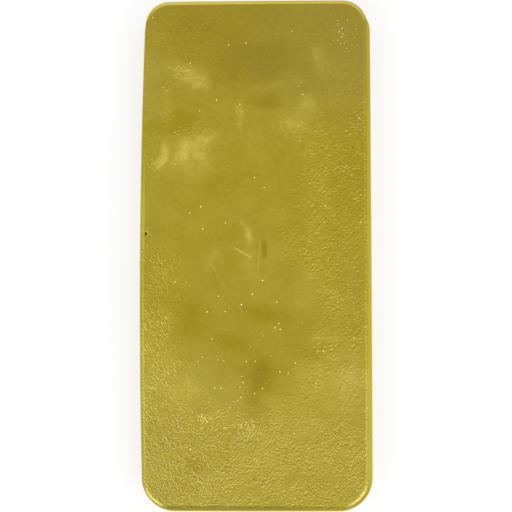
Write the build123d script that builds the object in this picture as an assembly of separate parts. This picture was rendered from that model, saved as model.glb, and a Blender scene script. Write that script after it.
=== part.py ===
"""A one kilogram cast gold bar, poured into an open mould and turned out upside down.

The bar lies on its poured face, with the face that touched the mould's floor on top.
Millimetres and degrees. X runs across the bar, Y along it and Z up.
The origin is the middle of the bar's footprint, on the surface that it lies on.
"""

import os
from math import cos, radians, sqrt, tan

from build123d import *

# Whole bar
LENGTH = 117.0  # end to end, over the bowed ends
WIDTH = 53.3  # side to side, over the bowed sides
THICKNESS = 8.75  # poured face to mould face

# Sides
DRAFT = 7.0  # lean of the sides from upright, which lets the bar drop out of its mould
LEFT_BOW = 1.0  # how far the side at -X swells past a straight line
RIGHT_BOW = 0.1  # the same at +X
END_BOW = 0.1  # the same at either end
HEAD_CORNER_RADIUS = 6.5  # upright corners of the end at +Y, at the foot of the sides
TAIL_CORNER_RADIUS = 7.7  # the same of the end at -Y

# Edges
MOULD_EDGE_RADIUS = 1.1  # round that the mould's floor gives to the top edge
POURED_EDGE_RADIUS = 0.7  # round that the liquid metal takes by itself at the bottom edge

# Hollow that the metal leaves in the poured face as it shrinks
SINK_DEPTH = 0.3
SINK_RIM = 4.5  # flat and edge left between the hollow and the outline
SINK_CAP_SHARE = 0.05  # share of a half ellipsoid's height that the hollow takes


def foot_overhang():
    """How far the drafted sides, drawn down to a sharp foot, reach past the rounded bottom edge."""
    lean = radians(DRAFT)
    return POURED_EDGE_RADIUS * (tan(lean) + 1 / cos(lean) - 1)


def foot_outline():
    """The outline of the sharp foot: four shallow arcs with rounded corners between them."""
    side = WIDTH / 2 + foot_overhang()
    end = LENGTH / 2 + foot_overhang()
    left, right = LEFT_BOW - side, side - RIGHT_BOW
    corner_y = end - END_BOW
    middle = (left + right) / 2
    with BuildSketch() as outline:
        with BuildLine():
            ThreePointArc((left, -corner_y), (middle, -end), (right, -corner_y))
            ThreePointArc((right, -corner_y), (side, 0), (right, corner_y))
            ThreePointArc((right, corner_y), (middle, end), (left, corner_y))
            ThreePointArc((left, corner_y), (-side, 0), (left, -corner_y))
        make_face()
        fillet(outline.vertices().group_by(Axis.Y)[-1], HEAD_CORNER_RADIUS)
        fillet(outline.vertices().group_by(Axis.Y)[0], TAIL_CORNER_RADIUS)
    return outline.sketch


def sink():
    """An ellipsoid whose cap stands SINK_DEPTH above the poured face and leaves its rim flat."""
    height = SINK_DEPTH / SINK_CAP_SHARE
    mouth_share = sqrt(1 - (1 - SINK_CAP_SHARE) ** 2)
    half_width = (WIDTH / 2 - SINK_RIM) / mouth_share
    half_length = (LENGTH / 2 - SINK_RIM) / mouth_share
    ellipsoid = scale(Sphere(1), by=(half_width, half_length, height))
    return Pos(0, 0, SINK_DEPTH - height) * ellipsoid


def ingot():
    """The casting: the foot drawn up at the mould's draft, both rims rounded and the base hollowed."""
    body = extrude(foot_outline(), amount=THICKNESS, taper=DRAFT)
    top_rim = body.faces().sort_by(Axis.Z)[-1].edges()
    body = fillet(top_rim, MOULD_EDGE_RADIUS)
    bottom_rim = body.faces().sort_by(Axis.Z)[0].edges()
    body = fillet(bottom_rim, POURED_EDGE_RADIUS)
    return body - sink()


def main():
    os.makedirs("parts", exist_ok=True)
    bar = ingot()
    export_step(bar, "parts/ingot.step")
    print("volume", round(bar.volume), "mm3")


main()
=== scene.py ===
"""Looks of a cast gold bar: its wrinkled skin, its dull gold finish and a plain studio.

The file is laid out as an add-on and run as a script. Metres and radians, apart from the spots' half axes.
X runs across the bar, Y along it and Z up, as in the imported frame.
"""

from collections import namedtuple
from math import atan2, ceil, cos, hypot, pi, radians, sin, sqrt, tan

import bpy
import numpy as np
from mathutils import Euler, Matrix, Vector, noise
from mathutils.geometry import delaunay_2d_cdt


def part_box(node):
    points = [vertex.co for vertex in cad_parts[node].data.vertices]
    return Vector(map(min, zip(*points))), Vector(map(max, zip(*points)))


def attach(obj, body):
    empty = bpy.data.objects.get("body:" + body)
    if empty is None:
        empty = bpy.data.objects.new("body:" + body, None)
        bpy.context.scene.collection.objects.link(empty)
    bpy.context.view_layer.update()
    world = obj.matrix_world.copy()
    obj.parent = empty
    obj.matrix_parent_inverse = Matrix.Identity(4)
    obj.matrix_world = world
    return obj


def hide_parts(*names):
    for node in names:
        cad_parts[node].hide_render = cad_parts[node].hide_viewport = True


bl_info = {
    "name": "Cast gold bar",
    "version": (1, 0, 0),
    "blender": (4, 5, 0),
    "location": "View3D > Sidebar > Ingot",
    "description": "Dresses a cast gold bar and sets it in a plain studio",
    "category": "Object",
}

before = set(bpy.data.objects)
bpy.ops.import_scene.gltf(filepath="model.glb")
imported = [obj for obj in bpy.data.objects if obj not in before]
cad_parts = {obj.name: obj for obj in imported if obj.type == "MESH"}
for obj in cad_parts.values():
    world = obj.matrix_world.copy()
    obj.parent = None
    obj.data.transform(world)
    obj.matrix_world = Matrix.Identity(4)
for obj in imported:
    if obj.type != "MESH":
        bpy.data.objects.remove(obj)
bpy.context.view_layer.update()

MM = 0.001
LOW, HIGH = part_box("ingot")
HALF_WIDTH = (HIGH.x - LOW.x) / 2
HALF_LENGTH = (HIGH.y - LOW.y) / 2
THICKNESS = HIGH.z - LOW.z

# An oval area of the mould face. Its middle is given as shares of the half width and half length,
# its half axes in millimetres, then come its strength in the middle, which may be negative, the
# share of it over which it fades out, and its turn from X towards Y.
Spot = namedtuple("Spot", "across along reach breadth strength fade turn", defaults=(1.0, 0.0))

# Where the skin froze smooth. Everywhere else on the mould face it wrinkled.
CALM_SPOTS = (
    Spot(-0.34, 0.36, 24, 31, 1.0, 0.35),
    Spot(-0.09, -0.26, 20, 23, 1.0, 0.40),
    Spot(0.05, 1.02, 48, 36, 0.84, 0.5),
    Spot(-0.95, 0.36, 7.0, 12, -0.6),
    Spot(0.60, 0.55, 12, 9.0, 0.5),
    Spot(-0.75, -0.69, 5.5, 2.2, 0.6, 1.0, radians(-10)),
    Spot(-0.62, -0.77, 3.0, 2.0, 0.5, 1.0, radians(-20)),
)

# Crusts of small crumbs, mostly at the rims of the frosted marks
CRUMB_SPOTS = (
    Spot(-0.63, 0.71, 3.4, 2.6, 1.0, 0.8),
    Spot(-0.74, 0.64, 1.6, 2.6, 0.9, 0.8),
    Spot(-0.76, 0.53, 1.8, 4.0, 0.9, 0.8),
    Spot(-0.66, 0.465, 3.6, 2.2, 1.2, 0.7, radians(20)),
    Spot(-0.48, 0.475, 3.6, 2.6, 0.7, 0.8, radians(20)),
    Spot(-0.88, 0.35, 2.4, 3.2, 0.9, 0.8),
    Spot(-0.13, 0.525, 1.6, 4.6, 0.8, 0.8),
    Spot(0.32, 0.485, 5.0, 3.6, 1.0, 0.8),
    Spot(0.77, 0.83, 2.6, 4.0, 1.0, 0.9, radians(20)),
    Spot(0.60, 0.86, 5.0, 1.4, 0.5, 0.8),
    Spot(0.74, 0.65, 6.0, 5.0, 0.45),
    Spot(-0.60, 0.84, 16, 14, 0.45),
)

# Pale frosted marks
FROST_SPOTS = (
    Spot(-0.606, 0.395, 2.6, 3.2, 0.22, 1.0, radians(10)),
    Spot(-0.494, 0.384, 4.8, 1.9, 0.15, 1.0, radians(-18)),
    Spot(-0.795, 0.376, 3.6, 1.6, 0.24, 0.6, radians(62)),
    Spot(-0.417, 0.440, 5.0, 3.2, 0.20, 1.0, radians(20)),
    Spot(-0.530, 0.370, 10.5, 7.0, 0.18, 1.0, radians(-5)),
    Spot(-0.468, 0.670, 3.2, 2.2, 0.22, 0.9, radians(-25)),
    Spot(-0.631, 0.709, 4.8, 3.2, 0.22, 1.0, radians(-25)),
    Spot(-0.560, 0.690, 8.0, 5.0, 0.10, 1.0, radians(-30)),
    Spot(-0.74, 0.63, 1.6, 2.6, 0.12),
    Spot(0.554, 0.756, 3.0, 5.0, 0.22, 0.9, radians(-8)),
    Spot(0.434, 0.574, 5.4, 3.2, 0.17, 0.8, radians(-20)),
    Spot(0.33, 0.490, 5.0, 3.8, 0.14, 0.9),
    Spot(-0.135, 0.535, 1.6, 4.4, 0.20, 0.9),
    Spot(-0.76, 0.53, 1.8, 4.2, 0.12),
    Spot(0.06, 0.645, 8.0, 1.5, 0.12, 1.0, radians(4)),
    Spot(-0.07, 0.07, 1.9, 3.8, 0.26, 1.0, radians(20)),
    Spot(-0.02, -0.05, 2.4, 6.5, 0.13, 1.0, radians(6)),
    Spot(-0.37, -0.03, 1.6, 5.0, 0.12, 1.0, radians(-12)),
    Spot(0.36, -0.19, 3.0, 2.2, 0.10, 1.0, radians(30)),
    Spot(0.61, -0.14, 3.0, 2.2, 0.10),
    Spot(0.65, -0.345, 8.0, 1.6, 0.12, 1.0, radians(3)),
    Spot(-0.92, -0.36, 3.0, 5.0, 0.16),
)

# Softer changes: dark pools and pale clouds, and a painted gradient of light, darker towards the head and
# paler towards the tail
SHADE_SPOTS = (
    Spot(0.00, 0.745, 18.0, 7.5, -0.23, 1.0, radians(3)),
    Spot(0.08, 0.58, 4.2, 2.8, -0.20, 0.9),
    Spot(-0.24, 0.26, 9.0, 6.0, -0.06),
    Spot(-0.20, -0.04, 3.2, 4.8, -0.10, 0.9),
    Spot(0.08, 0.02, 2.0, 3.2, -0.12),
    Spot(-0.52, -0.25, 7.5, 7.0, -0.12, 0.8),
    Spot(-0.52, -0.225, 2.6, 2.6, -0.10),
    Spot(0.10, -0.25, 7.4, 3.6, -0.18, 1.0, radians(-5)),
    Spot(-0.20, -0.36, 6.4, 4.2, -0.15, 1.0, radians(-15)),
    Spot(-0.10, -0.49, 12, 6.0, -0.06),
    Spot(0.09, -0.46, 7.8, 6.4, -0.28),
    Spot(0.04, -0.55, 5.0, 8.5, -0.24, 1.0, radians(-6)),
    Spot(-0.58, -0.40, 7.0, 1.8, -0.08, 1.0, radians(-6)),
    Spot(0.55, -0.40, 6.0, 1.8, -0.07, 1.0, radians(3)),
    Spot(-0.47, -0.82, 4.6, 2.4, -0.24, 0.9, radians(-12)),
    Spot(-0.45, 0.88, 11, 6.0, -0.06),
    Spot(-0.90, 0.70, 7.0, 14, 0.18),
    Spot(0.57, 0.65, 4.4, 3.0, -0.08),
    # Painted shade over the head half of the face
    Spot(0.00, 1.15, 60, 38, -0.22, 0.8),
    Spot(0.95, 0.36, 14, 30, -0.14),
    # Painted light over the tail half of the face
    Spot(0.00, -1.20, 70, 50, 0.14, 0.25),
    Spot(-0.95, -0.50, 13, 15, 0.16),
    Spot(-0.85, 0.28, 9.0, 16, 0.06),
    Spot(-0.70, 0.500, 6.6, 4.0, -0.10, 0.4, radians(20)),
    Spot(0.40, 0.53, 8.0, 6.0, 0.07, 1.0, radians(30)),
    Spot(0.00, -0.03, 12, 14, 0.07),
    Spot(0.45, -0.12, 8.0, 9.0, 0.06),
    Spot(-0.42, -0.40, 7.0, 5.0, 0.09),
    Spot(0.85, -0.42, 8.0, 12, 0.06),
    Spot(0.60, -0.88, 14, 9.0, -0.08),
    Spot(0.35, -1.00, 18, 6.0, -0.12),
    Spot(0.74, -0.49, 14, 9.0, 0.16),
    Spot(-0.60, -0.48, 12, 9.0, 0.16),
    Spot(-0.98, 0.16, 5.0, 10, 0.22),
    Spot(1.00, -0.68, 4.0, 14, 0.12),
    Spot(-0.90, -0.82, 10, 14, 0.07),
)

# Where small beads of metal stand on the skin
BEAD_SPOTS = (
    Spot(-0.05, -0.42, 24, 20, 1.0),
    Spot(0.74, 0.85, 4, 5, 9.0),
    Spot(-0.10, -0.74, 16, 8, 1.2),
    Spot(-0.43, -0.643, 2.4, 1.8, 70.0),
    Spot(-0.04, -0.69, 4.4, 3.0, 34.0),
    Spot(-0.20, -0.61, 1.6, 1.4, 40.0),
    Spot(-0.43, -0.88, 5.0, 3.4, 12.0),
    Spot(-0.74, 0.65, 1.6, 2.6, 14.0),
    Spot(0.86, 0.22, 5.0, 10, 0.8),
    Spot(0.00, 0.00, 90, 120, 0.12),
)

# How far chance shifts the spots, and over what distance the shift changes
SPOT_DRIFTS = ((1.6 * MM, 6.0 * MM), (0.8 * MM, 2.0 * MM))
DRIFT_SEED = 3

# Marks drawn across the face by handling, with the same kind of shares for their two ends.
# A negative strength darkens.
Scratch = namedtuple("Scratch", "start end width strength")
SCRATCHES = (
    Scratch((-0.19, 0.02), (-0.01, -0.03), 0.20 * MM, 0.50),
    Scratch((-0.13, -0.21), (-0.10, -0.24), 0.16 * MM, 0.30),
    Scratch((0.085, 0.045), (0.09, -0.035), 0.70 * MM, -0.24),
    Scratch((0.05, 0.06), (0.03, -0.10), 0.30 * MM, 0.16),
    Scratch((-0.385, -0.03), (-0.22, -0.17), 0.60 * MM, 0.08),
)

NICK_PLACE = Vector((-24.5 * MM, 4.0 * MM, THICKNESS))
NICK_SHADE = Vector((0.34, 0.62, 1.0)) * MM  # half axes of the painted shade in the nick

# Patterns of the relief and the finish: the size of one bump, or its size along each axis
WANDER_SIZE = Vector((16, 16, 40)) * MM  # how the sides wander inwards
FLOW_LINE_SIZE = Vector((5, 5, 0.7)) * MM  # flow lines on the sides
FLOW_TONE_SIZE = Vector((8, 8, 0.6)) * MM  # changes of tone along the flow lines
CLOUD_SIZE = 7 * MM
PATCH_SIZE = 2.5 * MM  # groups of wrinkles
CLUMP_SIZE = 1.5 * MM  # groups of crumbs, and islands in the frost
CRUMB_SIZE = 0.62 * MM
MOTTLE_SIZE = 0.8 * MM
DUST_SIZE = 0.3 * MM
PIT_SPACING = 1.6 * MM

# Shade of the gold, from 0 for the deepest to 1 for the brightest
PLAIN_SHADE = 0.46
FROST_LIMIT = 0.84  # frost alone makes nothing brighter than this

# Flecks: how crooked they are, and how bold near the tail
FLECK_CROOK = 0.6
TAIL_BOLDNESS = 1.05

# Lamps: where each stands and how wide it is. The left one at the tail mirrors the right one.
HEAD_LAMP_PLACE = (0.1, 0.8, 0.5)
HEAD_LAMP_SIZE = (1.8, 1.0)
TAIL_LAMP_PLACE = (0.6, -0.55, 0.52)
TAIL_LAMP_SIZE = (1.1, 1.1)

# Settings of the triangulation
KEEP_INSIDE = 1  # triangles outside the ring are dropped
SAME_POINT = 1e-9  # points closer than this count as one


def length_property(name, description, default):
    return bpy.props.FloatProperty(
        name=name, description=description, default=default, min=0.0,
        unit="LENGTH", subtype="DISTANCE", precision=5)


def angle_property(name, description, default):
    return bpy.props.FloatProperty(
        name=name, description=description, default=default,
        unit="ROTATION", subtype="ANGLE")


def share_property(name, description, default):
    return bpy.props.FloatProperty(
        name=name, description=description, default=default, min=0.0, max=1.0,
        subtype="FACTOR")


def colour_property(name, description, default):
    return bpy.props.FloatVectorProperty(
        name=name, description=description, default=default, min=0.0, max=1.0,
        size=3, subtype="COLOR")


def strength_property(name, description, default):
    return bpy.props.FloatProperty(
        name=name, description=description, default=default, min=0.0)


class CastingForm(bpy.types.PropertyGroup):
    """The shape that the mould gives to the bar."""

    draft: angle_property("Draft", "Lean of the sides from upright", radians(7))
    left_bow: length_property("Left bow", "How far the side at -X swells past straight", 1.0 * MM)
    right_bow: length_property("Right bow", "How far the side at +X swells past straight", 0.1 * MM)
    end_bow: length_property("End bow", "How far either end swells past straight", 0.1 * MM)
    head_corner: length_property("Head corners", "Radius of the upright corners at +Y", 6.5 * MM)
    tail_corner: length_property("Tail corners", "Radius of the upright corners at -Y", 7.7 * MM)
    mould_edge: length_property("Mould edge", "Round of the top edge", 1.1 * MM)
    poured_edge: length_property("Poured edge", "Round of the bottom edge", 0.7 * MM)
    sink_depth: length_property("Sink depth", "Depth of the hollow in the poured face", 0.3 * MM)
    sink_rim: length_property("Sink rim", "Flat left between the hollow and the outline", 4.5 * MM)
    face_pitch: length_property("Face pitch", "Spacing of the points on the mould face", 0.33 * MM)
    rim_pitch: length_property("Rim pitch", "Spacing of the points round the outline", 0.42 * MM)
    base_pitch: length_property("Base pitch", "Spacing of the points on the poured face", 1.5 * MM)


class CastingRelief(bpy.types.PropertyGroup):
    """What freezing and handling did to the bar's skin."""

    wrinkle_height: length_property("Wrinkle height", "Height of the frozen wrinkles", 0.025 * MM)
    wrinkle_length: length_property("Wrinkle length", "Length of one wrinkle", 1.3 * MM)
    wrinkle_width: length_property("Wrinkle width", "Width of one wrinkle", 0.75 * MM)
    left_turn: angle_property("Left turn", "Lie of the wrinkles on the left", radians(-52))
    right_turn: angle_property("Right turn", "Lie of the wrinkles on the right", radians(12))
    swell_depth: length_property("Swell depth", "Depth of the slow waves in the face", 0.08 * MM)
    swell_spacing: length_property("Swell spacing", "Spacing of the slow waves", 14 * MM)
    drift_depth: length_property("Edge drift", "How far the sides wander inwards", 0.08 * MM)
    lap_depth: length_property("Lap depth", "Depth of the flow lines on the sides", 0.04 * MM)
    nick_depth: length_property("Nick depth", "Depth of the nick in the left edge", 0.15 * MM)
    nick_radius: length_property("Nick radius", "Reach of the nick in the left edge", 0.8 * MM)
    bead_radius: length_property("Bead radius", "Radius of the largest beads", 0.26 * MM)
    bead_count: bpy.props.IntProperty(
        name="Bead count", description="Beads that a whole bar would carry at a strength of 1",
        default=700, min=0)
    seed: bpy.props.IntProperty(
        name="Seed", description="Draw of the beads' places", default=11, min=0)


class GoldFinish(bpy.types.PropertyGroup):
    """Colours, gloss and flecks of the gold."""

    deep: colour_property("Deep gold", "Where the skin is dark and smooth", (0.320, 0.235, 0.016))
    plain: colour_property("Plain gold", "Most of the skin", (0.440, 0.337, 0.020))
    pale: colour_property("Pale gold", "Frosted skin", (0.570, 0.457, 0.062))
    bright: colour_property("Bright gold", "The brightest frost and scratches", (0.765, 0.66, 0.125))
    # Painted highlight: laid on the crests of the flecks, the edges, the tail's corners and the foot
    painted_highlight: colour_property("Crest", "Rubbed tops of wrinkles, edges and corners", (1.0, 0.88, 0.28))
    # Painted glint: the beads are painted towards this bright colour
    bead: colour_property("Bead", "Small beads of metal, rubbed bright", (1.0, 0.91, 0.32))
    haze: colour_property("Haze", "Thin grey film at the ends and sides", (0.375, 0.295, 0.07))
    greenish: colour_property("Greenish gold", "Along the left edge", (0.395, 0.355, 0.032))
    # Painted shade: the colour laid where shade is painted into the gold
    painted_shade: colour_property("Soot", "In pits, hollows, the nick and the tail's edge", (0.050, 0.038, 0.008))
    roughness: share_property("Roughness", "Roughness of the plain skin", 0.34)
    edge_tint: colour_property("Edge tint", "Tint of the shine seen at a slant", (0.78, 0.70, 0.20))
    crest_length: length_property("Crest length", "Length of the crests beside the middle", 0.64 * MM)
    crest_width: length_property("Crest width", "Width of the crests beside the middle", 0.46 * MM)
    crest_height: length_property("Crest height", "Height of the tallest crests", 0.0065 * MM)
    tail_crest: length_property("Tail crest", "Width of the crests near the tail", 0.385 * MM)
    left_turn: angle_property("Left turn", "Lie of the crests on the left", radians(-45))
    tail_left_turn: angle_property("Tail left turn", "The same near the tail", radians(-42))
    right_turn: angle_property("Right turn", "Lie of the crests on the right", radians(14))


class Studio(bpy.types.PropertyGroup):
    """The light, the floor and the camera."""

    floor: colour_property("Floor", "Colour of the floor", (0.92, 0.92, 0.92))
    floor_glow: share_property("Floor glow", "Share of the floor that shows plain white", 0.6)
    sky: strength_property("Sky", "Strength of the even light from all round", 0.72)
    head_lamp: strength_property("Head lamp", "Power of the wide lamp behind the head, in watts", 3.5)
    tail_lamps: strength_property("Tail lamps", "Power of each lamp beside the tail, in watts", 4.6)
    camera_place: bpy.props.FloatVectorProperty(
        name="Camera place", description="Where the camera stands", size=3,
        default=(0.0146, -0.0397, 0.4), unit="LENGTH", subtype="TRANSLATION")
    camera_tilt: angle_property("Camera tilt", "Tilt of the camera towards +Y", radians(5.624))
    camera_swing: angle_property("Camera swing", "Swing of the camera towards -X", radians(2.078))
    lens: bpy.props.FloatProperty(
        name="Lens", description="Focal length for a 36 mm sensor", default=122.95,
        unit="CAMERA", min=1.0)


class Wire:
    """A socket that carries a value. Arithmetic on it adds Math nodes to its board."""

    def __init__(self, board, socket):
        self.board = board
        self.socket = socket

    def other(self, name):
        """Another output of the same node."""
        return Wire(self.board, find_socket(self.socket.node.outputs, name))

    def __add__(self, value):
        return self.board.math("ADD", self, value)

    def __sub__(self, value):
        return self.board.math("SUBTRACT", self, value)

    def __rsub__(self, value):
        return self.board.math("SUBTRACT", value, self)

    def __mul__(self, value):
        return self.board.math("MULTIPLY", self, value)

    def __truediv__(self, value):
        return self.board.math("DIVIDE", self, value)

    def __neg__(self):
        return self.board.math("MULTIPLY", self, -1)

    def __abs__(self):
        return self.board.math("ABSOLUTE", self)

    __radd__ = __add__
    __rmul__ = __mul__


def find_socket(sockets, name):
    """The socket in use that has this identifier or name."""
    return next(s for s in sockets if s.enabled and name in (s.identifier, s.name))


class Board:
    """A node tree, and the one way that nodes are laid on it."""

    def __init__(self, tree):
        self.tree = tree

    def lay(self, kind, settings=None, sockets=None):
        """Adds a node, settings first, then a value or a wire for each named socket."""
        node = self.tree.nodes.new(kind)
        for name, value in (settings or {}).items():
            if name == "stops":
                self.set_stops(node.color_ramp, value)
            else:
                setattr(node, name, value)
        for name, value in (sockets or {}).items():
            socket = find_socket(node.inputs, name)
            if isinstance(value, Wire):
                self.tree.links.new(value.socket, socket)
            else:
                socket.default_value = value
        shown = [s for s in node.outputs if s.enabled]
        return Wire(self, shown[0]) if shown else node

    @staticmethod
    def set_stops(ramp, stops):
        while len(ramp.elements) < len(stops):
            ramp.elements.new(1.0)
        for element, (position, colour) in zip(ramp.elements, stops):
            element.position = position
            element.color = (*colour, 1.0)

    def math(self, operation, *values):
        return self.lay("ShaderNodeMath", {"operation": operation},
                        dict(zip(("Value", "Value_001"), values)))

    def most(self, first, *others):
        """The largest of several values."""
        for value in others:
            first = self.math("MAXIMUM", first, value)
        return first

    def vector(self, operation, first, second):
        return self.lay("ShaderNodeVectorMath", {"operation": operation},
                        {"Vector": first, "Vector_001": second})

    def dot(self, place, way):
        return self.vector("DOT_PRODUCT", place, way)

    def length(self, way):
        return self.lay("ShaderNodeVectorMath", {"operation": "LENGTH"}, {"Vector": way})

    def parts(self, vector):
        """The X of a vector, with its Y and Z as other outputs of the same node."""
        return self.lay("ShaderNodeSeparateXYZ", None, {"Vector": vector})

    def step(self, value, start, end):
        """0 before start, 1 after end, and a smooth rise between them."""
        return self.lay("ShaderNodeMapRange", {"interpolation_type": "SMOOTHSTEP"},
                        {"Value": value, "From Min": start, "From Max": end})

    def noise(self, place, detail=2.0, roughness=0.5, distortion=0.0):
        """Noise from 0 to 1, one unit of place to a bump."""
        return self.lay("ShaderNodeTexNoise", None, {
            "Vector": place, "Scale": 1.0, "Detail": detail, "Roughness": roughness,
            "Distortion": distortion})

    def in_units(self, place, size):
        """The place counted in steps of this size along each axis."""
        return self.vector("DIVIDE", place, size)

    def in_grains(self, place, turn, size):
        """The place counted in grains of this size that are turned about Z."""
        turned = self.lay("ShaderNodeVectorRotate", {"rotation_type": "Z_AXIS", "invert": True},
                          {"Vector": place, "Angle": turn})
        return self.in_units(turned, size)

    def wrinkles(self, place, crook, boldness=1.0):
        """Short crooked flecks, about one to a unit of place: painted highlights above 0 and painted shade
        below it.

        The highlights lie on crests where bumps fall towards +Y, towards the head lamp, the shade in hollows
        where they rise, and most of the place is neither.
        """
        ahead = self.vector("ADD", place, (0, 0.4, 0))
        fall = self.noise(place, 2.0, 0.5, crook) - self.noise(ahead, 2.0, 0.5, crook)
        fall = fall * boldness
        # Painted highlight on the side that faces the head lamp, painted shade on the side turned away
        painted_highlight = self.step(fall, 0.10, 0.19)
        hollow = self.step(fall, -0.07, -0.17)
        return painted_highlight * 1.7 - hollow * 1.8

    def blend(self, share, first, second):
        return first + (second - first) * share

    def tint(self, share, colour, paint):
        """The colour, with a share of it painted over."""
        return self.lay("ShaderNodeMix", {"data_type": "RGBA"}, {
            "Factor": share, "A": colour, "B": (*paint, 1.0)})

    def pits(self, place):
        """Pinholes, in about one unit of place out of twenty."""
        cell = self.lay("ShaderNodeTexVoronoi", None, {"Vector": place, "Scale": 1.0})
        chance = self.lay("ShaderNodeSeparateColor", None, {"Color": cell.other("Color")})
        return (1 - self.step(cell, 0.06, 0.18)) * self.step(chance, 0.92, 0.97)


Circle = namedtuple("Circle", "centre radius")


def bowed_side(apex, outward, half_chord, bow):
    """The circle of a side that swells past its chord by bow, out to its apex."""
    radius = (half_chord ** 2 / bow + bow) / 2
    return Circle(np.subtract(apex, np.multiply(outward, radius)), radius)


def rounded_corner(side, next_side, radius, corner):
    """The circle of this radius near the corner that touches two sides from inside."""
    first = side.radius - radius
    second = next_side.radius - radius
    gap = next_side.centre - side.centre
    distance = hypot(*gap)
    along = (first ** 2 - second ** 2 + distance ** 2) / (2 * distance)
    offset = sqrt(first ** 2 - along ** 2)
    forward = gap / distance
    sideways = np.array((-forward[1], forward[0]))
    foot = side.centre + along * forward
    meetings = (foot + offset * sideways, foot - offset * sideways)
    return Circle(min(meetings, key=lambda point: hypot(*(point - corner))), radius)


def outline(form):
    """Points round the bar's widest outline, and the way outwards at each of them."""
    corner_x = HALF_WIDTH - np.array((form.left_bow, form.right_bow))
    corner_y = HALF_LENGTH - form.end_bow
    half_chord = corner_x.mean()
    corners = [(corner_x[1], corner_y), (-corner_x[0], corner_y),
               (-corner_x[0], -corner_y), (corner_x[1], -corner_y)]
    middle = (corner_x[1] - corner_x[0]) / 2
    sides = [bowed_side((HALF_WIDTH, 0), (1, 0), corner_y, form.right_bow),
             bowed_side((middle, HALF_LENGTH), (0, 1), half_chord, form.end_bow),
             bowed_side((-HALF_WIDTH, 0), (-1, 0), corner_y, form.left_bow),
             bowed_side((middle, -HALF_LENGTH), (0, -1), half_chord, form.end_bow)]
    radii = (form.head_corner, form.head_corner, form.tail_corner, form.tail_corner)
    rounds = [rounded_corner(sides[i], sides[(i + 1) % 4], radii[i], corners[i]) for i in range(4)]
    points, outward = [], []
    for i in range(4):
        side, before, after = sides[i], rounds[i - 1], rounds[i]
        next_side = sides[(i + 1) % 4]
        start = heading(before.centre - side.centre)
        end = heading(after.centre - side.centre)
        finish = heading(after.centre - next_side.centre)
        for circle, low, high in ((side, start, end), (after, end, finish)):
            sweep = (high - low) % (2 * pi)
            count = ceil(circle.radius * sweep / form.rim_pitch)
            angles = low + sweep * np.arange(count) / count
            away = np.column_stack((np.cos(angles), np.sin(angles)))
            points.append(circle.centre + circle.radius * away)
            outward.append(away)
    return np.concatenate(points), np.concatenate(outward)


def heading(way):
    return atan2(way[1], way[0])


def side_profile(form, edge_steps=8, side_steps=12):
    """Inset, height and outward lean of each ring of the side, from the poured face up to the mould face."""
    lean = form.draft
    low, high = form.poured_edge, form.mould_edge
    foot = (low - low * cos(lean), low + low * sin(lean))
    shoulder_height = THICKNESS - high + high * sin(lean)
    shoulder = (foot[0] + (shoulder_height - foot[1]) * tan(lean), shoulder_height)
    bottom = [(low - low * cos(angle), low + low * sin(angle), cos(angle))
              for angle in np.linspace(-pi / 2, lean, edge_steps)]
    wall = [(*np.add(foot, np.subtract(shoulder, foot) * share), cos(lean))
            for share in np.arange(1, side_steps) / side_steps]
    centre = shoulder[0] + high * cos(lean)
    top = [(centre - high * cos(angle), THICKNESS - high + high * sin(angle), cos(angle))
           for angle in np.linspace(lean, pi / 2, edge_steps + 2)]
    return bottom + wall + top


def inside(points, ring, margin):
    """Which points lie inside a convex ring, at least a margin from it."""
    keep = np.ones(len(points), bool)
    for start, end in zip(ring, np.roll(ring, -1, axis=0)):
        edge = end - start
        away = points - start
        keep &= edge[0] * away[:, 1] - edge[1] * away[:, 0] > margin * hypot(*edge)
    return keep


def fill(ring, pitch):
    """Points of an even triangle grid inside a ring, and the triangles of ring and grid together."""
    rows = np.arange(-HALF_LENGTH, HALF_LENGTH, pitch * sqrt(3) / 2)
    columns = np.arange(-HALF_WIDTH, HALF_WIDTH, pitch)
    grid = [np.column_stack((columns + pitch / 2 * (i % 2), np.full(len(columns), row)))
            for i, row in enumerate(rows)]
    grid = np.concatenate(grid)
    clearance = 0.6 * pitch
    grid = grid[inside(grid, ring, clearance)]
    flat = [Vector(point) for point in np.concatenate((ring, grid))]
    made = delaunay_2d_cdt(flat, [], [list(range(len(ring)))], KEEP_INSIDE, SAME_POINT)
    faces, sources = made[2], made[3]
    return grid, [[sources[corner][0] for corner in face] for face in faces]


def sink(points, form):
    """Height of the poured face's hollow above the floor at each point."""
    span = points / (HALF_WIDTH - form.sink_rim, HALF_LENGTH - form.sink_rim)
    return form.sink_depth * np.clip(1 - (span ** 2).sum(axis=1), 0, None)


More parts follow.
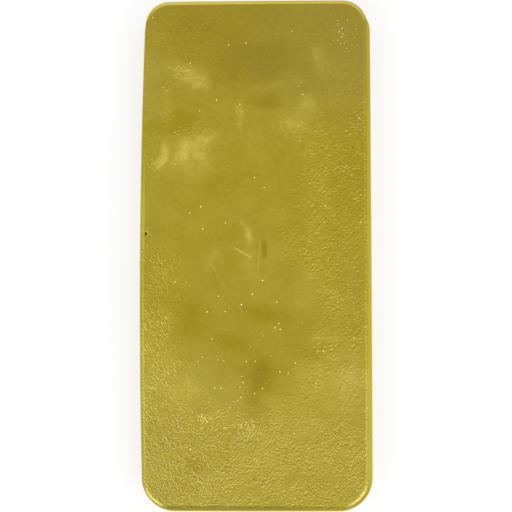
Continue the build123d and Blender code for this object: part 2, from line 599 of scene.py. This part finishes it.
def casting_mesh(form):
    """The bar's closed skin, before any relief."""
    rim, outward = outline(form)
    profile = side_profile(form)
    count = len(rim)
    rings = [np.column_stack((rim - inset * outward, np.full(count, height)))
             for inset, height, lean in profile]
    base, base_faces = fill(rings[0][:, :2], form.base_pitch)
    face, face_faces = fill(rings[-1][:, :2], form.face_pitch)
    base_points = np.column_stack((base, sink(base, form)))
    face_points = np.column_stack((face, np.full(len(face), THICKNESS)))
    points = np.concatenate(rings + [base_points, face_points])
    base_start = count * len(rings)
    face_start = base_start + len(base)
    last_ring = count * (len(rings) - 1)
    faces = [(row * count + i, row * count + (i + 1) % count,
              (row + 1) * count + (i + 1) % count, (row + 1) * count + i)
             for row in range(len(rings) - 1) for i in range(count)]
    faces += [[i if i < count else i - count + base_start for i in reversed(corners)]
              for corners in base_faces]
    faces += [[i + last_ring if i < count else i - count + face_start for i in corners]
              for corners in face_faces]
    mesh = bpy.data.meshes.new("ingot_skin")
    mesh.from_pydata(points.tolist(), [], faces)
    mesh.update()
    slopes = np.zeros((len(points), 3))
    slopes[:base_start, :2] = np.concatenate([outward * lean for inset, height, lean in profile])
    mesh.attributes.new("slope", "FLOAT_VECTOR", "POINT").data.foreach_set("vector", slopes.ravel())
    return mesh, points


def drifted(points):
    """The points, shifted by chance, so that what is laid out on them has uneven rims."""
    noise.seed_set(DRIFT_SEED)
    shifted = points.copy()
    for shift, distance in SPOT_DRIFTS:
        shifted += shift * np.array([noise.noise_vector(point / distance) for point in points])
    return shifted


def spread(points, spots):
    """The sum of the spots at each point: full in a spot's middle, fading smoothly towards its rim."""
    total = np.zeros(len(points))
    for spot in spots:
        away = points[:, :2] - (spot.across * HALF_WIDTH, spot.along * HALF_LENGTH)
        reach = (away[:, 0] * cos(spot.turn) + away[:, 1] * sin(spot.turn)) / (spot.reach * MM)
        breadth = (away[:, 1] * cos(spot.turn) - away[:, 0] * sin(spot.turn)) / (spot.breadth * MM)
        nearness = np.clip((1 - np.hypot(reach, breadth)) / spot.fade, 0, 1)
        total += spot.strength * nearness ** 2 * (3 - 2 * nearness)
    return total


def mark(mesh, name, values):
    """Keeps one value for each point of the mesh under a name."""
    mesh.attributes.new(name, "FLOAT", "POINT").data.foreach_set("value", values)


def mark_skin(mesh, points):
    """Keeps on the mesh what the spots say of each of its points."""
    points = drifted(points)
    mark(mesh, "calm", np.clip(spread(points, CALM_SPOTS), 0, 1))
    mark(mesh, "crumbs", spread(points, CRUMB_SPOTS))
    mark(mesh, "frost", spread(points, FROST_SPOTS))
    mark(mesh, "tone", spread(points, SHADE_SPOTS))
    mark(mesh, "beading", spread(points, BEAD_SPOTS))


def name_sockets(panel):
    """Gives the relief's node tree its inputs and its output."""
    panel.new_socket("Geometry", in_out="INPUT", socket_type="NodeSocketGeometry")
    for name in ("Wrinkle Height", "Wrinkle Length", "Wrinkle Width", "Left Turn", "Right Turn",
                 "Swell Depth", "Swell Spacing", "Drift Depth", "Lap Depth", "Nick Depth",
                 "Nick Radius", "Bead Radius", "Bead Density"):
        panel.new_socket(name, in_out="INPUT", socket_type="NodeSocketFloat")
    panel.new_socket("Seed", in_out="INPUT", socket_type="NodeSocketInt")
    panel.new_socket("Gold", in_out="INPUT", socket_type="NodeSocketMaterial")
    panel.new_socket("Geometry", in_out="OUTPUT", socket_type="NodeSocketGeometry")


def kept_value(board, name):
    """A value kept under this name for each point of the mesh."""
    return board.lay("GeometryNodeInputNamedAttribute", {"data_type": "FLOAT"}, {"Name": name})


def frozen_wrinkles(board, given, place):
    """Wrinkles from 0 to 1 that lie one way on the left of the face and another way on its right."""
    length, width = given.other("Wrinkle Length"), given.other("Wrinkle Width")
    grain = board.lay("ShaderNodeCombineXYZ", None, {"X": length, "Y": width, "Z": length})
    left, right = (board.noise(board.in_grains(place, given.other(turn), grain), 1.0, 0.5, 0.3)
                   for turn in ("Left Turn", "Right Turn"))
    rightness = board.step(board.parts(place) / HALF_WIDTH, -0.8, -0.1)
    return board.step(board.blend(rightness, left, right), 0.38, 0.68)


def relief_height(board, given, on_face, on_side):
    """How far the relief moves the skin along its normal: never outwards, to stay in the solid's box."""
    place = board.lay("GeometryNodeInputPosition")
    rough = on_face * (1 - kept_value(board, "calm"))
    height = (frozen_wrinkles(board, given, place) - 1) * rough * given.other("Wrinkle Height")
    wave = board.lay("ShaderNodeCombineXYZ", None, {
        axis: given.other("Swell Spacing") for axis in "XYZ"})
    swell = board.noise(board.in_units(place, wave), 1.0) + 0.7
    height -= swell * on_face * given.other("Swell Depth")
    wander = board.noise(board.in_units(place, WANDER_SIZE))
    height -= wander * on_side * given.other("Drift Depth")
    laps = board.noise(board.in_units(place, FLOW_LINE_SIZE))
    height -= laps * on_side * given.other("Lap Depth")
    to_nick = board.vector("DISTANCE", place, NICK_PLACE) / given.other("Nick Radius")
    return height - (1 - board.step(to_nick, 0.3, 1.0)) * given.other("Nick Depth")


def strewn_beads(board, given, skin, on_face):
    """Flattened beads of different sizes on the face, each with a painted glint of its own."""
    density = kept_value(board, "beading") * on_face * given.other("Bead Density")
    seats = board.lay("GeometryNodeDistributePointsOnFaces", {"distribute_method": "RANDOM"}, {
        "Mesh": skin, "Density": density, "Seed": given.other("Seed")})
    size = board.lay("FunctionNodeRandomValue", {"data_type": "FLOAT"}, {
        "Min": 0.5, "Max": 1.0, "Seed": given.other("Seed")})
    bead = board.lay("GeometryNodeMeshIcoSphere", None, {
        "Radius": given.other("Bead Radius"), "Subdivisions": 1})
    flattened = board.lay("ShaderNodeCombineXYZ", None, {"X": size, "Y": size, "Z": size * 0.3})
    beads = board.lay("GeometryNodeInstanceOnPoints", None, {
        "Points": seats, "Instance": bead, "Scale": flattened})
    # How strongly each bead's glint is painted into its colour
    painted_glint = board.lay("FunctionNodeRandomValue", {"data_type": "FLOAT"}, {
        "Min": 0.3, "Max": 1.0, "Seed": given.other("Seed")})
    return board.lay("GeometryNodeStoreNamedAttribute", {"data_type": "FLOAT", "domain": "INSTANCE"}, {
        "Geometry": beads, "Name": "bead", "Value": painted_glint})


def relief_tree():
    """Wrinkles, slow waves, flow lines, a nick and small beads on a casting's skin."""
    tree = bpy.data.node_groups.new("cast_relief", "GeometryNodeTree")
    name_sockets(tree.interface)
    board = Board(tree)
    given = board.lay("NodeGroupInput")
    normal = board.lay("GeometryNodeInputNormal")
    upward = board.parts(normal).other("Z")
    on_face = board.step(upward, 0.5, 0.95)
    on_side = board.step(upward, -0.3, 0.1) * (1 - on_face)
    push = board.lay("ShaderNodeVectorMath", {"operation": "SCALE"}, {
        "Vector": normal, "Scale": relief_height(board, given, on_face, on_side)})
    skin = board.lay("GeometryNodeSetPosition", None, {
        "Geometry": given.other("Geometry"), "Offset": push})
    beads = strewn_beads(board, given, skin, on_face)
    joined = board.lay("GeometryNodeJoinGeometry", None, {"Geometry": beads})
    tree.links.new(skin.socket, joined.socket.node.inputs[0])
    smooth = board.lay("GeometryNodeSetShadeSmooth", None, {"Geometry": joined})
    whole = board.lay("GeometryNodeRealizeInstances", None, {"Geometry": smooth})
    gilded = board.lay("GeometryNodeSetMaterial", None, {
        "Geometry": whole, "Material": given.other("Gold")})
    board.lay("NodeGroupOutput", None, {"Geometry": gilded})
    return tree


def frozen(piece, tree, values):
    """Runs a node tree on a piece with these inputs and keeps the result as its plain mesh."""
    modifier = piece.modifiers.new(tree.name, "NODES")
    modifier.node_group = tree
    for item in tree.interface.items_tree:
        if item.in_out == "INPUT" and item.name in values:
            modifier[item.identifier] = values[item.name]
    graph = bpy.context.evaluated_depsgraph_get()
    made = bpy.data.meshes.new_from_object(piece.evaluated_get(graph), depsgraph=graph)
    piece.modifiers.remove(modifier)
    blank = piece.data
    piece.data = made
    bpy.data.meshes.remove(blank)
    made.name = piece.name


def new_material(name):
    material = bpy.data.materials.new(name)
    material.use_nodes = True
    material.node_tree.nodes.clear()
    return material, Board(material.node_tree)


def scratched(board, place, scratch):
    """The strength of a scratch along its line, and nothing beside it."""
    start, end = (Vector((point[0] * HALF_WIDTH, point[1] * HALF_LENGTH, 0))
                  for point in (scratch.start, scratch.end))
    run = end - start
    way = run.normalized()
    beside = Vector((-way.y, way.x, 0))
    along = board.dot(place, way) - start.dot(way)
    off_line = abs(board.dot(place, beside) - start.dot(beside)) / scratch.width
    taper = board.step(along / run.length, 0.0, 0.2) * (1 - board.step(along / run.length, 0.8, 1.0))
    return (1 - board.step(off_line, 0.2, 1.0)) * taper * scratch.strength


class GoldSkin:
    """What the gold finish reads at a point of the skin, and the shares that it works out there.

    Places across and along the bar run from -1 to 1. A slope is 0 on the face and about 1 on the sides.
    """

    def __init__(self, board):
        self.board = board
        self.place = board.lay("ShaderNodeTexCoord").other("Object")
        here = board.parts(self.place)
        self.across = here / HALF_WIDTH
        self.along = here.other("Y") / HALF_LENGTH
        self.tailness = board.step(self.along, -0.55, -0.75)
        self.low_down = board.step(here.other("Z") / THICKNESS, 0.34, 0.12)
        slope = self.kept("slope", "Vector")
        self.to_right = board.parts(slope)
        self.to_head = self.to_right.other("Y")
        self.lean = board.length(slope)
        self.wall = board.step(self.lean, 0.7, 0.97)
        # The inner part of the head's round, where a highlight is painted
        self.head_rim_highlight = board.step(self.to_head, 0.02, 0.25)
        # Where a highlight is painted on the rounded edge at the tail's corners
        self.corner = self.tail_corner_highlights()
        self.rough = 1 - self.kept("calm")
        self.bead = self.kept("bead")
        self.clouds = self.pattern(CLOUD_SIZE, 4.0)
        self.patches = board.step(self.pattern(PATCH_SIZE, 4.0), 0.32, 0.68)
        self.clumps = self.pattern(CLUMP_SIZE, 3.0)
        headness = board.step(self.along, 0.1, 0.6)
        self.mottle = (self.pattern(MOTTLE_SIZE, 2.0) - 0.5) * (headness * 0.12 + 0.22)
        self.dust = self.pattern(DUST_SIZE, 1.0, 0.5)
        self.laps = board.noise(board.in_units(self.place, FLOW_TONE_SIZE), 3.0, 0.6) - 0.5

    def kept(self, name, output="Fac"):
        """What the mesh keeps under this name."""
        return self.board.lay("ShaderNodeAttribute", {"attribute_name": name}).other(output)

    def pattern(self, size, detail, roughness=0.6):
        """Noise with bumps of this size."""
        return self.board.noise(self.board.in_units(self.place, (size,) * 3), detail, roughness)

    def grains(self, turn, size, boldness=1.0):
        """Flecks of this size that are turned about Z."""
        return self.board.wrinkles(self.board.in_grains(self.place, turn, size), FLECK_CROOK, boldness)

    def tail_corner_highlights(self):
        """How strongly a highlight is painted on the rounded edge at the tail's two corners."""
        board = self.board
        at_corner = board.step(abs(self.to_right), 0.1, 0.35) * board.step(self.to_head, -0.1, -0.35)
        on_round = (1 - self.low_down) * (1 - board.step(self.lean, 0.82, 0.98))
        leftness = board.step(self.across, 0.5, -0.5)
        return at_corner * on_round * (leftness * 0.3 + 0.62)

    def side_flecks(self, finish):
        """Flecks beside the middle, which lie one way on the left and another way on the right."""
        board = self.board
        length, width = finish.crest_length, finish.crest_width
        left = self.grains(finish.left_turn, (0.95 * length, width, length))
        left = left * (board.step(self.along, -0.1, -0.35) * 0.8 + 1.1)
        right = self.grains(finish.right_turn, (length, width, length))
        return board.blend(board.step(self.across, -0.8, -0.3), left, right)

    def tail_flecks(self, finish):
        """Finer flecks near the tail, strongest on its left."""
        board = self.board
        size = Vector((1.15, 1.0, 1.0)) * finish.tail_crest
        left = self.grains(finish.tail_left_turn, size, TAIL_BOLDNESS) * 6.0
        right = self.grains(finish.right_turn, size, TAIL_BOLDNESS)
        right = right * (board.step(self.across, 0.5, 0.1) * 1.6 + 2.0)
        return board.blend(board.step(self.across + self.patches * 0.6, -0.25, 0.0), left, right)

    def flecks(self, finish):
        """Painted highlights on crests above 0 and painted shade in hollows below it, which also drive the
        bump: wrinkles where the skin is rough, and crusts of crumbs.
        """
        board = self.board
        wrinkles = board.blend(self.tailness, self.side_flecks(finish), self.tail_flecks(finish))
        wrinkles = wrinkles * (self.rough * (self.patches + 0.25 - self.tailness * 0.12) + 0.05)
        crumbs = board.wrinkles(board.in_units(self.place, (CRUMB_SIZE,) * 3), 0.9) * 1.05
        crust = self.kept("crumbs") * board.step(self.clumps, 0.38, 0.54)
        return (wrinkles + board.most(crumbs, -1.1) * crust) * (1 - self.wall * 0.85)

    def frost(self):
        """How far the skin is paled: in the frosted marks, and by painted highlights and reflections along
        some of the edges.
        """
        board = self.board
        marks = self.kept("frost")
        islands = board.step(marks + (self.clumps - 0.5) * 0.5, 0.10, 0.24)
        # Painted highlights along the rims and the head's round, and painted reflections of the floor at the
        # feet of the tail and the right side
        left_rim_highlight = board.step(self.to_right, -0.05, -0.35) * board.step(self.along, 0.4, 0.2)
        right_rim_highlight = board.step(self.to_right, 0.6, 0.9)
        tail_foot_reflection = board.step(self.to_head, -0.9, -0.97) * self.low_down
        right_foot_reflection = board.step(self.to_right, 0.9, 0.97) * self.low_down
        edges = (left_rim_highlight * 0.22 + right_rim_highlight * 0.12 + self.head_rim_highlight * 0.36
                 + tail_foot_reflection * 0.4 + right_foot_reflection * 0.25 + self.corner * 0.6)
        return marks * (self.patches * 0.5 + 0.55) + islands * 0.07 + edges

    def shade(self, frost, hollows):
        """Where the skin stands between the deepest gold, at 0, and the brightest, at 1."""
        tone = self.kept("tone") * (self.clouds * 0.8 + 0.6) + (self.clouds - 0.5) * 0.25
        shade = PLAIN_SHADE + tone + frost + self.mottle + self.laps * self.wall * 0.5
        shade = self.board.math("MINIMUM", shade, FROST_LIMIT)
        # Painted shade in the hollows of the flecks, deeper near the tail
        shade += hollows * (self.tailness * 0.15 + 0.3) + (self.dust - 0.5) * (self.rough * 0.2 + 0.1)
        for scratch in SCRATCHES:
            shade += scratched(self.board, self.place, scratch)
        return shade

    def green(self):
        """How far the gold turns greenish, along the left edge below the head."""
        left_edge = self.board.step(self.across, -0.72, -0.97)
        return left_edge * self.board.step(self.along, 0.55, 0.3) * 0.5

    def painted_sheen(self, crests):
        """How far painted highlights and reflections brighten the metal: on crests, along the edges, at the
        tail's corners and at the foot.
        """
        board = self.board
        # Painted reflection of the pale floor at the foot, and a paler painted reflection on the right side
        foot = board.step(self.to_right - self.to_head, 0.9, 0.97) * self.low_down
        right_side_reflection = board.step(self.to_right, 0.6, 0.97)
        return board.most(crests * 0.25, self.head_rim_highlight * 0.12, foot * 0.8, self.corner * 0.85,
                          right_side_reflection * 0.14)

    def haze(self):
        """How thick the grey film is: at the head, towards the tail and along both sides."""
        board = self.board
        head = board.step(self.along, 0.4, 0.7) * (board.step(self.across, -0.3, 0.6) * 0.2 + 0.18)
        tail = board.step(self.along, -0.3, -0.75) * (board.step(self.across, 0.4, -0.5) * 0.08 + 0.13)
        lower_half = board.step(self.along, 0.1, -0.5)
        right_edge = board.step(self.across, 0.55, 0.9)
        left_edge = board.step(self.across, -0.75, -0.95) * board.step(self.along, 0.3, 0.5)
        return head + tail + lower_half * 0.06 + right_edge * 0.08 + left_edge * 0.12

    def painted_shade(self, hollows):
        """How far painted shade darkens the skin: at the tail's edge, on the left side, in pits, in the nick
        and in the hollows of the tail's flecks.
        """
        board = self.board
        # Painted shade on the round and the wall at the tail, and on the left side
        tail_edge_shade = board.step(self.to_head, -0.02, -0.4) * (1 - self.low_down) * (1 - self.corner)
        tail_edge_shade = tail_edge_shade * (0.42 - board.step(self.across, 0.1, 0.6) * 0.14)
        left_side_shade = board.step(self.to_right, -0.6, -0.99)
        # Painted shade in the pinholes, in the hollows of the tail's flecks and in the nick
        pits = board.pits(board.in_units(self.place, (PIT_SPACING,) * 3)) * self.rough
        tail_fleck_shade = board.math("MINIMUM", -hollows, 1.0) * self.tailness
        in_nick = board.in_units(board.vector("SUBTRACT", self.place, NICK_PLACE), NICK_SHADE)
        nick = 1 - board.step(board.length(in_nick), 0.45, 1.0)
        return board.most(nick, tail_edge_shade + left_side_shade * 0.08 + pits * 0.6 + tail_fleck_shade * 0.2)


def dull_gold(finish):
    """Cast gold: cloudy, frosted in places, flecked where the skin wrinkled, with painted highlights,
    reflections and shade on the flecks and edges, and a painted glint on the beads.
    """
    material, board = new_material("dull_gold")
    skin = GoldSkin(board)
    flecks = skin.flecks(finish)
    # The crests carry the painted highlight and the hollows the painted shade
    crests = board.math("MAXIMUM", flecks, 0.0)
    hollows = board.math("MINIMUM", flecks, 0.0)
    frost = skin.frost()
    colour = board.lay("ShaderNodeValToRGB", {"stops": (
        (0.0, finish.deep), (0.34, finish.plain), (0.67, finish.pale), (1.0, finish.bright))},
        {"Fac": skin.shade(frost, hollows)})
    # Coats over the gold: a greenish tone, painted highlights and reflections, the beads' painted glint, a
    # grey haze and painted shade
    coats = ((skin.green(), finish.greenish), (skin.painted_sheen(crests), finish.painted_highlight),
             (skin.bead, finish.bead), (skin.haze(), finish.haze), (skin.painted_shade(hollows), finish.painted_shade))
    for share, paint in coats:
        colour = board.tint(share, colour, paint)
    gloss = (finish.roughness + skin.rough * 0.05 + (skin.clouds - 0.5) * 0.10
             + frost * 0.2 - skin.bead * 0.12)
    height = (flecks + skin.dust * (skin.rough * 0.4 + 0.2) + skin.mottle * 1.5
              + skin.laps * skin.wall * 3)
    bump = board.lay("ShaderNodeBump", None, {
        "Strength": 1.0, "Distance": finish.crest_height, "Height": height})
    gold = board.lay("ShaderNodeBsdfPrincipled", None, {
        "Base Color": colour, "Metallic": 1.0, "Roughness": gloss, "Normal": bump,
        "Specular Tint": (*finish.edge_tint, 1.0)})
    board.lay("ShaderNodeOutputMaterial", None, {"Surface": gold})
    return material


def floor_material(studio):
    """Pale board that shows plain white where nothing shades it."""
    material, board = new_material("pale_floor")
    path = board.lay("ShaderNodeLightPath")
    seen = board.most(path, path.other("Is Glossy Ray"), path.other("Is Transmission Ray"))
    paint = board.lay("ShaderNodeBsdfDiffuse", None, {"Color": (*studio.floor, 1.0)})
    glow = board.lay("ShaderNodeEmission", None, {"Strength": 1.0})
    mixed = board.lay("ShaderNodeMixShader", None, {
        "Fac": seen * studio.floor_glow, "Shader": paint, "Shader_001": glow})
    board.lay("ShaderNodeOutputMaterial", None, {"Surface": mixed})
    return material


def add_floor(studio, half_size=2.5):
    mesh = bpy.data.meshes.new("floor")
    corners = [(-half_size, -half_size, 0), (half_size, -half_size, 0),
               (half_size, half_size, 0), (-half_size, half_size, 0)]
    mesh.from_pydata(corners, [], [(0, 1, 2, 3)])
    mesh.materials.append(floor_material(studio))
    floor = bpy.data.objects.new("floor", mesh)
    bpy.context.scene.collection.objects.link(floor)


def add_lamp(name, place, size, power):
    """A soft rectangular lamp that faces the bar."""
    lamp = bpy.data.lights.new(name, "AREA")
    lamp.shape = "RECTANGLE"
    lamp.size, lamp.size_y = size
    lamp.energy = power
    stand = bpy.data.objects.new(name, lamp)
    stand.location = place
    stand.rotation_euler = (-Vector(place)).to_track_quat("-Z", "Y").to_euler()
    stand.visible_camera = False
    bpy.context.scene.collection.objects.link(stand)


def add_sky(studio):
    world = bpy.data.worlds.new("studio")
    world.use_nodes = True
    world.node_tree.nodes.clear()
    board = Board(world.node_tree)
    light = board.lay("ShaderNodeBackground", None, {
        "Color": (1.0, 1.0, 1.0, 1.0), "Strength": studio.sky})
    board.lay("ShaderNodeOutputWorld", None, {"Surface": light})
    bpy.context.scene.world = world


def add_camera(studio):
    camera = bpy.data.cameras.new("camera")
    camera.lens = studio.lens
    camera.clip_start = 0.01
    stand = bpy.data.objects.new("camera", camera)
    stand.location = studio.camera_place
    stand.rotation_euler = Euler((studio.camera_tilt, studio.camera_swing, 0.0))
    bpy.context.scene.collection.objects.link(stand)
    bpy.context.scene.camera = stand


class INGOT_OT_casting(bpy.types.Operator):
    """Cast the bar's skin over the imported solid."""

    bl_idname = "ingot.casting"
    bl_label = "Cast the bar"

    def execute(self, context):
        form = context.scene.ingot_form
        relief = context.scene.ingot_relief
        mesh, points = casting_mesh(form)
        mark_skin(mesh, points)
        skin = bpy.data.objects.new("ingot_skin", mesh)
        context.scene.collection.objects.link(skin)
        area = 4 * HALF_WIDTH * HALF_LENGTH
        frozen(skin, relief_tree(), {
            "Wrinkle Height": relief.wrinkle_height, "Wrinkle Length": relief.wrinkle_length,
            "Wrinkle Width": relief.wrinkle_width, "Left Turn": relief.left_turn,
            "Right Turn": relief.right_turn, "Swell Depth": relief.swell_depth,
            "Swell Spacing": relief.swell_spacing, "Drift Depth": relief.drift_depth,
            "Lap Depth": relief.lap_depth, "Nick Depth": relief.nick_depth,
            "Nick Radius": relief.nick_radius, "Bead Radius": relief.bead_radius,
            "Bead Density": relief.bead_count / area, "Seed": relief.seed,
            "Gold": dull_gold(context.scene.ingot_finish)})
        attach(skin, "root")
        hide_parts("ingot")
        return {"FINISHED"}


class INGOT_OT_stage(bpy.types.Operator):
    """Lay the floor, hang the lamps and stand the camera."""

    bl_idname = "ingot.stage"
    bl_label = "Set the stage"

    def execute(self, context):
        studio = context.scene.ingot_studio
        add_floor(studio)
        add_sky(studio)
        add_lamp("head_lamp", HEAD_LAMP_PLACE, HEAD_LAMP_SIZE, studio.head_lamp)
        side, back, height = TAIL_LAMP_PLACE
        add_lamp("tail_lamp_left", (-side, back, height), TAIL_LAMP_SIZE, studio.tail_lamps)
        add_lamp("tail_lamp_right", (side, back, height), TAIL_LAMP_SIZE, studio.tail_lamps)
        add_camera(studio)
        context.scene.view_settings.view_transform = "Standard"
        return {"FINISHED"}


class INGOT_PT_panel(bpy.types.Panel):
    """The bar's sizes, finish and studio."""

    bl_label = "Cast gold bar"
    bl_space_type = "VIEW_3D"
    bl_region_type = "UI"
    bl_category = "Ingot"

    def draw(self, context):
        layout = self.layout
        for name in GROUPS:
            box = layout.box()
            group = getattr(context.scene, name)
            for item in group.bl_rna.properties:
                if item.identifier not in ("rna_type", "name"):
                    box.prop(group, item.identifier)
        layout.operator(INGOT_OT_casting.bl_idname)
        layout.operator(INGOT_OT_stage.bl_idname)


GROUPS = {
    "ingot_form": CastingForm,
    "ingot_relief": CastingRelief,
    "ingot_finish": GoldFinish,
    "ingot_studio": Studio,
}
CLASSES = (*GROUPS.values(), INGOT_OT_casting, INGOT_OT_stage, INGOT_PT_panel)


def register():
    for kind in CLASSES:
        bpy.utils.register_class(kind)
    for name, group in GROUPS.items():
        setattr(bpy.types.Scene, name, bpy.props.PointerProperty(type=group))


def unregister():
    for name in GROUPS:
        delattr(bpy.types.Scene, name)
    for kind in reversed(CLASSES):
        bpy.utils.unregister_class(kind)


def main():
    register()
    bpy.ops.ingot.casting()
    bpy.ops.ingot.stage()


if __name__ == "__main__":
    main()
